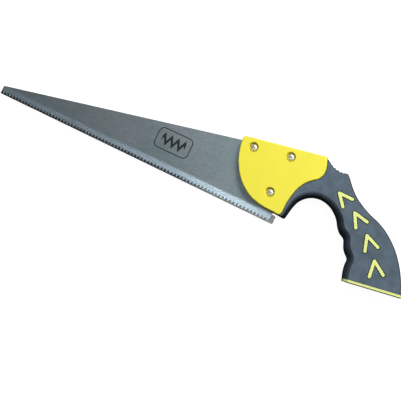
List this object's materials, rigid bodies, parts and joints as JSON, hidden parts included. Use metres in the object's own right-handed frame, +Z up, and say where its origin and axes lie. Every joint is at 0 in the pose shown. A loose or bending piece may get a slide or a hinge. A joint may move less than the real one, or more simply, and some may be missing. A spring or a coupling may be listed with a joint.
{
  "type": "hand saw",
  "caption": "Short wood saw with a tapered toothed steel blade, a bolted plastic pistol-grip handle with rubber overmoulding, and a clear push-on tooth guard.",
  "frame": {"origin": "on the flat lower face of the handle's cheek, which the saw rests on, under the middle of its three screws", "axes": "+X along the row of teeth from the blade's tip to the handle, +Y from the teeth to the back edge, +Z up out of the side with the screw heads"},
  "size_m": [0.5052, 0.1083, 0.022],
  "materials": {
    "blade_steel": "satin",
    "handle_plastic": "satin",
    "grip_rubber": "matte",
    "zinc_steel": "satin",
    "clear_plastic": "gloss"
  },
  "bodies": {
    "saw": {"blade": "blade_steel", "handle_core": "handle_plastic", "grip_rubber": "grip_rubber", "screw_front": "zinc_steel", "screw_rear": "zinc_steel", "screw_lower": "zinc_steel", "nut_front": "zinc_steel", "nut_rear": "zinc_steel", "nut_lower": "zinc_steel"},
    "guard": {"blade_guard": "clear_plastic"}
  },
  "joints": [
    {"name": "guard_pull", "type": "slide", "parent": "saw", "child": "guard", "axis": [0, -1, 0], "range_m": [0, 0.03]}
  ]
}
